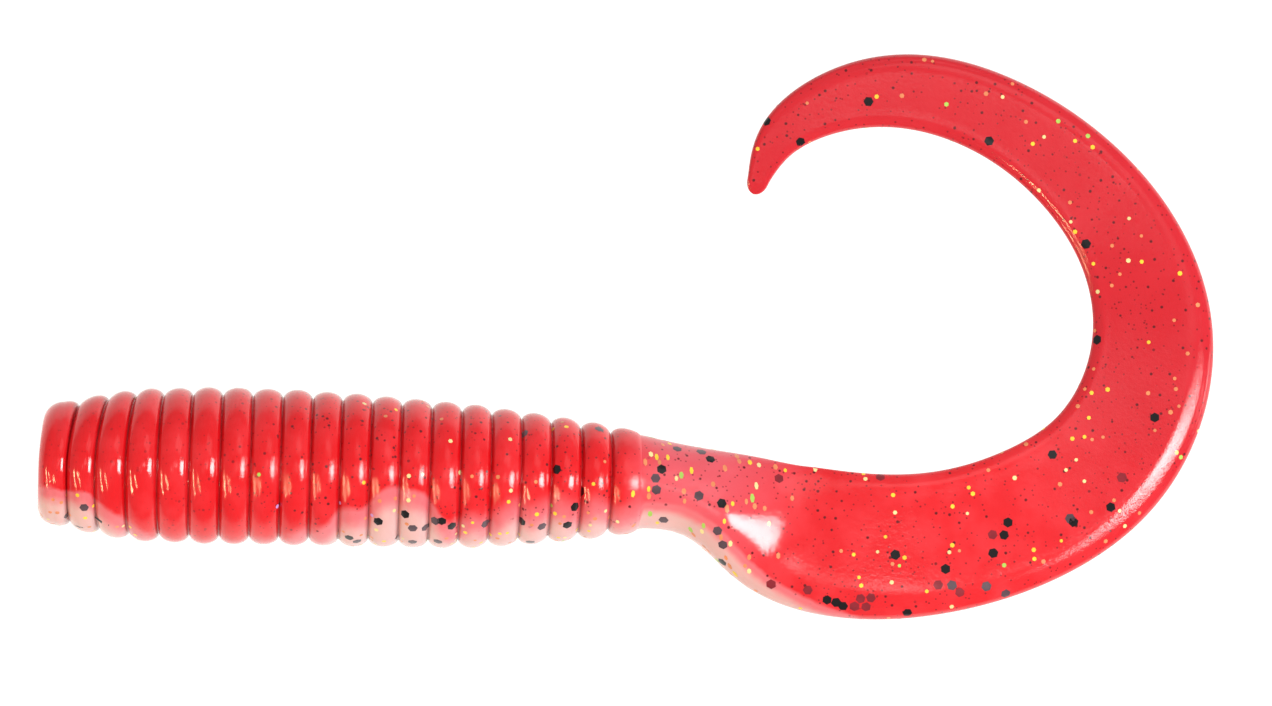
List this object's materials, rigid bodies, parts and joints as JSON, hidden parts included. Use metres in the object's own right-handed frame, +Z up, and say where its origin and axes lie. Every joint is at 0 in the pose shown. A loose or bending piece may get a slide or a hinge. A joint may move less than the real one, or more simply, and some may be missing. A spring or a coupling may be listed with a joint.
{
  "type": "soft plastic worm",
  "caption": "Soft plastic fishing worm with a short ribbed body, a thin neck and one flat curly tail, in red over a pale belly with dark and gold glitter.",
  "frame": {"origin": "centre of the flat nose face, on the body's axis", "axes": "+X from the nose along the body, +Y towards the back, +Z up; the worm lies on its flank"},
  "size_m": [0.1017, 0.0492, 0.0134],
  "materials": {
    "red_back_plastic": "gloss",
    "pale_belly_plastic": "gloss",
    "red_tail_plastic": "gloss"
  },
  "bodies": {
    "nose_rib": {"rib_01_back": "red_back_plastic", "rib_01_belly": "pale_belly_plastic"},
    "rib_02": {"rib_02_back": "red_back_plastic", "rib_02_belly": "pale_belly_plastic"},
    "rib_03": {"rib_03_back": "red_back_plastic", "rib_03_belly": "pale_belly_plastic"},
    "rib_04": {"rib_04_back": "red_back_plastic", "rib_04_belly": "pale_belly_plastic"},
    "rib_05": {"rib_05_back": "red_back_plastic", "rib_05_belly": "pale_belly_plastic"},
    "rib_06": {"rib_06_back": "red_back_plastic", "rib_06_belly": "pale_belly_plastic"},
    "rib_07": {"rib_07_back": "red_back_plastic", "rib_07_belly": "pale_belly_plastic"},
    "rib_08": {"rib_08_back": "red_back_plastic", "rib_08_belly": "pale_belly_plastic"},
    "rib_09": {"rib_09_back": "red_back_plastic", "rib_09_belly": "pale_belly_plastic"},
    "rib_10": {"rib_10_back": "red_back_plastic", "rib_10_belly": "pale_belly_plastic"},
    "rib_11": {"rib_11_back": "red_back_plastic", "rib_11_belly": "pale_belly_plastic"},
    "rib_12": {"rib_12_back": "red_back_plastic", "rib_12_belly": "pale_belly_plastic"},
    "rib_13": {"rib_13_back": "red_back_plastic", "rib_13_belly": "pale_belly_plastic"},
    "rib_14": {"rib_14_back": "red_back_plastic", "rib_14_belly": "pale_belly_plastic"},
    "rib_15": {"rib_15_back": "red_back_plastic", "rib_15_belly": "pale_belly_plastic"},
    "rib_16": {"rib_16_back": "red_back_plastic", "rib_16_belly": "pale_belly_plastic"},
    "rib_17": {"rib_17_back": "red_back_plastic", "rib_17_belly": "pale_belly_plastic"},
    "rib_18": {"rib_18_back": "red_back_plastic", "rib_18_belly": "pale_belly_plastic"},
    "rib_19": {"rib_19_back": "red_back_plastic", "rib_19_belly": "pale_belly_plastic"},
    "rib_20": {"rib_20_back": "red_back_plastic", "rib_20_belly": "pale_belly_plastic"},
    "neck": {"neck_back": "red_back_plastic", "neck_belly": "pale_belly_plastic"},
    "tail_01": {"tail_01": "red_tail_plastic"},
    "tail_02": {"tail_02": "red_tail_plastic"},
    "tail_03": {"tail_03": "red_tail_plastic"},
    "tail_04": {"tail_04": "red_tail_plastic"},
    "tail_05": {"tail_05": "red_tail_plastic"},
    "tail_06": {"tail_06": "red_tail_plastic"},
    "tail_07": {"tail_07": "red_tail_plastic"},
    "tail_08": {"tail_08": "red_tail_plastic"},
    "tail_09": {"tail_09": "red_tail_plastic"},
    "tail_10": {"tail_10": "red_tail_plastic"},
    "tail_11": {"tail_11": "red_tail_plastic"},
    "tail_12": {"tail_12": "red_tail_plastic"}
  },
  "joints": [
    {"name": "body_bend_01", "type": "hinge", "parent": "nose_rib", "child": "rib_02", "pos_m": [0.00283, 0, 0], "axis": [0, 0.0436, 0.999], "range_deg": [-5, 5], "stiffness_Nm_per_rad": 0.013},
    {"name": "body_lift_02", "type": "hinge", "parent": "rib_02", "child": "rib_03", "pos_m": [0.00542, 0, 0], "axis": [0, -0.999, 0.0436], "range_deg": [-5, 5], "stiffness_Nm_per_rad": 0.02},
    {"name": "body_bend_03", "type": "hinge", "parent": "rib_03", "child": "rib_04", "pos_m": [0.00801, 0, 0], "axis": [0, 0.0436, 0.999], "range_deg": [-5, 5], "stiffness_Nm_per_rad": 0.025},
    {"name": "body_lift_04", "type": "hinge", "parent": "rib_04", "child": "rib_05", "pos_m": [0.0106, 0, 0], "axis": [0, -0.999, 0.0436], "range_deg": [-5, 5], "stiffness_Nm_per_rad": 0.028},
    {"name": "body_bend_05", "type": "hinge", "parent": "rib_05", "child": "rib_06", "pos_m": [0.01319, 0, 0], "axis": [0, 0.0436, 0.999], "range_deg": [-5, 5], "stiffness_Nm_per_rad": 0.03},
    {"name": "body_lift_06", "type": "hinge", "parent": "rib_06", "child": "rib_07", "pos_m": [0.01578, 0, 0], "axis": [0, -0.999, 0.0436], "range_deg": [-5, 5], "stiffness_Nm_per_rad": 0.031},
    {"name": "body_bend_07", "type": "hinge", "parent": "rib_07", "child": "rib_08", "pos_m": [0.01837, 0, 0], "axis": [0, 0.0436, 0.999], "range_deg": [-5, 5], "stiffness_Nm_per_rad": 0.03},
    {"name": "body_lift_08", "type": "hinge", "parent": "rib_08", "child": "rib_09", "pos_m": [0.02096, 0, 0], "axis": [0, -0.999, 0.0436], "range_deg": [-5, 5], "stiffness_Nm_per_rad": 0.03},
    {"name": "body_bend_09", "type": "hinge", "parent": "rib_09", "child": "rib_10", "pos_m": [0.02355, 0, 0], "axis": [0, 0.0436, 0.999], "range_deg": [-5, 5], "stiffness_Nm_per_rad": 0.029},
    {"name": "body_lift_10", "type": "hinge", "parent": "rib_10", "child": "rib_11", "pos_m": [0.02614, 0, 0], "axis": [0, -0.999, 0.0436], "range_deg": [-5, 5], "stiffness_Nm_per_rad": 0.028},
    {"name": "body_bend_11", "type": "hinge", "parent": "rib_11", "child": "rib_12", "pos_m": [0.02873, 0, 0], "axis": [0, 0.0436, 0.999], "range_deg": [-5, 5], "stiffness_Nm_per_rad": 0.027},
    {"name": "body_lift_12", "type": "hinge", "parent": "rib_12", "child": "rib_13", "pos_m": [0.03132, 0, 0], "axis": [0, -0.999, 0.0436], "range_deg": [-5, 5], "stiffness_Nm_per_rad": 0.025},
    {"name": "body_bend_13", "type": "hinge", "parent": "rib_13", "child": "rib_14", "pos_m": [0.03391, 0, 0], "axis": [0, 0.0436, 0.999], "range_deg": [-5, 5], "stiffness_Nm_per_rad": 0.023},
    {"name": "body_lift_14", "type": "hinge", "parent": "rib_14", "child": "rib_15", "pos_m": [0.0365, 0, 0], "axis": [0, -0.999, 0.0436], "range_deg": [-5, 5], "stiffness_Nm_per_rad": 0.021},
    {"name": "body_bend_15", "type": "hinge", "parent": "rib_15", "child": "rib_16", "pos_m": [0.03909, 0, 0], "axis": [0, 0.0436, 0.999], "range_deg": [-5, 5], "stiffness_Nm_per_rad": 0.019},
    {"name": "body_lift_16", "type": "hinge", "parent": "rib_16", "child": "rib_17", "pos_m": [0.04168, 0, 0], "axis": [0, -0.999, 0.0436], "range_deg": [-5, 5], "stiffness_Nm_per_rad": 0.015},
    {"name": "body_bend_17", "type": "hinge", "parent": "rib_17", "child": "rib_18", "pos_m": [0.04427, 0, 0], "axis": [0, 0.0436, 0.999], "range_deg": [-5, 5], "stiffness_Nm_per_rad": 0.012},
    {"name": "body_lift_18", "type": "hinge", "parent": "rib_18", "child": "rib_19", "pos_m": [0.04686, 0, 0], "axis": [0, -0.999, 0.0436], "range_deg": [-5, 5], "stiffness_Nm_per_rad": 0.0089},
    {"name": "body_bend_19", "type": "hinge", "parent": "rib_19", "child": "rib_20", "pos_m": [0.04945, 0, 0], "axis": [0, 0.0436, 0.999], "range_deg": [-5, 5], "stiffness_Nm_per_rad": 0.0062},
    {"name": "body_lift_20", "type": "hinge", "parent": "rib_20", "child": "neck", "pos_m": [0.05204, 0, 0], "axis": [0, -0.999, 0.0436], "range_deg": [-5, 5], "stiffness_Nm_per_rad": 0.0041},
    {"name": "tail_sway_01", "type": "hinge", "parent": "neck", "child": "tail_01", "pos_m": [0.05839, -0.00112, 0], "axis": [-0.3084, -0.9513, 0], "range_deg": [-12, 12], "stiffness_Nm_per_rad": 0.002},
    {"name": "tail_curl_02", "type": "hinge", "parent": "tail_01", "child": "tail_02", "pos_m": [0.06602, -0.00419, 0], "axis": [0, 0.0436, 0.999], "range_deg": [-9, 4], "stiffness_Nm_per_rad": 0.0049},
    {"name": "tail_sway_03", "type": "hinge", "parent": "tail_02", "child": "tail_03", "pos_m": [0.07422, -0.00492, -0.00014], "axis": [0.0554, -0.9985, 0], "range_deg": [-12, 12], "stiffness_Nm_per_rad": 0.00015},
    {"name": "tail_curl_04", "type": "hinge", "parent": "tail_03", "child": "tail_04", "pos_m": [0.0823, -0.00338, -0.00091], "axis": [0.1192, 0.04, 0.9921], "range_deg": [-9, 4], "stiffness_Nm_per_rad": 0.003},
    {"name": "tail_sway_05", "type": "hinge", "parent": "tail_04", "child": "tail_05", "pos_m": [0.08966, 0.00034, -0.00213], "axis": [0.5911, -0.8066, 0], "range_deg": [-12, 12], "stiffness_Nm_per_rad": 0.000075},
    {"name": "tail_curl_06", "type": "hinge", "parent": "tail_05", "child": "tail_06", "pos_m": [0.09485, 0.00665, -0.00347], "axis": [0.0639, 0.1396, 0.9881], "range_deg": [-9, 4], "stiffness_Nm_per_rad": 0.0022},
    {"name": "tail_sway_07", "type": "hinge", "parent": "tail_06", "child": "tail_07", "pos_m": [0.09632, 0.01473, -0.00468], "axis": [0.9973, 0.0738, 0], "range_deg": [-12, 12], "stiffness_Nm_per_rad": 0.000055},
    {"name": "tail_curl_08", "type": "hinge", "parent": "tail_07", "child": "tail_08", "pos_m": [0.09378, 0.02253, -0.00547], "axis": [-0.0281, 0.0478, 0.9985], "range_deg": [-9, 4], "stiffness_Nm_per_rad": 0.001},
    {"name": "tail_sway_09", "type": "hinge", "parent": "tail_08", "child": "tail_09", "pos_m": [0.08843, 0.02878, -0.00563], "axis": [0.647, 0.7625, 0], "range_deg": [-12, 12], "stiffness_Nm_per_rad": 0.000029},
    {"name": "tail_curl_10", "type": "hinge", "parent": "tail_09", "child": "tail_10", "pos_m": [0.08141, 0.03309, -0.00571], "axis": [-0.0098, 0.0041, 0.9999], "range_deg": [-9, 4], "stiffness_Nm_per_rad": 0.00044},
    {"name": "tail_sway_11", "type": "hinge", "parent": "tail_10", "child": "tail_11", "pos_m": [0.07335, 0.03469, -0.00581], "axis": [-0.0338, 0.9994, 0], "range_deg": [-12, 12], "stiffness_Nm_per_rad": 0.000016},
    {"name": "tail_curl_12", "type": "hinge", "parent": "tail_11", "child": "tail_12", "pos_m": [0.06547, 0.03225, -0.00596], "axis": [-0.0201, -0.0134, 0.9997], "range_deg": [-9, 4], "stiffness_Nm_per_rad": 0.00011}
  ],
  "couplings": [
    {"joint": "body_bend_03", "follows": "body_bend_01", "ratio": 1},
    {"joint": "body_lift_04", "follows": "body_lift_02", "ratio": 1},
    {"joint": "body_bend_05", "follows": "body_bend_01", "ratio": 1},
    {"joint": "body_lift_06", "follows": "body_lift_02", "ratio": 1},
    {"joint": "body_bend_07", "follows": "body_bend_01", "ratio": 1},
    {"joint": "body_lift_08", "follows": "body_lift_02", "ratio": 1},
    {"joint": "body_bend_09", "follows": "body_bend_01", "ratio": 1},
    {"joint": "body_lift_10", "follows": "body_lift_02", "ratio": 1},
    {"joint": "body_bend_11", "follows": "body_bend_01", "ratio": 1},
    {"joint": "body_lift_12", "follows": "body_lift_02", "ratio": 1},
    {"joint": "body_bend_13", "follows": "body_bend_01", "ratio": 1},
    {"joint": "body_lift_14", "follows": "body_lift_02", "ratio": 1},
    {"joint": "body_bend_15", "follows": "body_bend_01", "ratio": 1},
    {"joint": "body_lift_16", "follows": "body_lift_02", "ratio": 1},
    {"joint": "body_bend_17", "follows": "body_bend_01", "ratio": 1},
    {"joint": "body_lift_18", "follows": "body_lift_02", "ratio": 1},
    {"joint": "body_bend_19", "follows": "body_bend_01", "ratio": 1},
    {"joint": "body_lift_20", "follows": "body_lift_02", "ratio": 1},
    {"joint": "tail_sway_03", "follows": "tail_sway_01", "ratio": 1},
    {"joint": "tail_curl_04", "follows": "tail_curl_02", "ratio": 1},
    {"joint": "tail_sway_05", "follows": "tail_sway_01", "ratio": 1},
    {"joint": "tail_curl_06", "follows": "tail_curl_02", "ratio": 1},
    {"joint": "tail_sway_09", "follows": "tail_sway_07", "ratio": 1},
    {"joint": "tail_curl_10", "follows": "tail_curl_08", "ratio": 1},
    {"joint": "tail_sway_11", "follows": "tail_sway_07", "ratio": 1},
    {"joint": "tail_curl_12", "follows": "tail_curl_08", "ratio": 1}
  ]
}
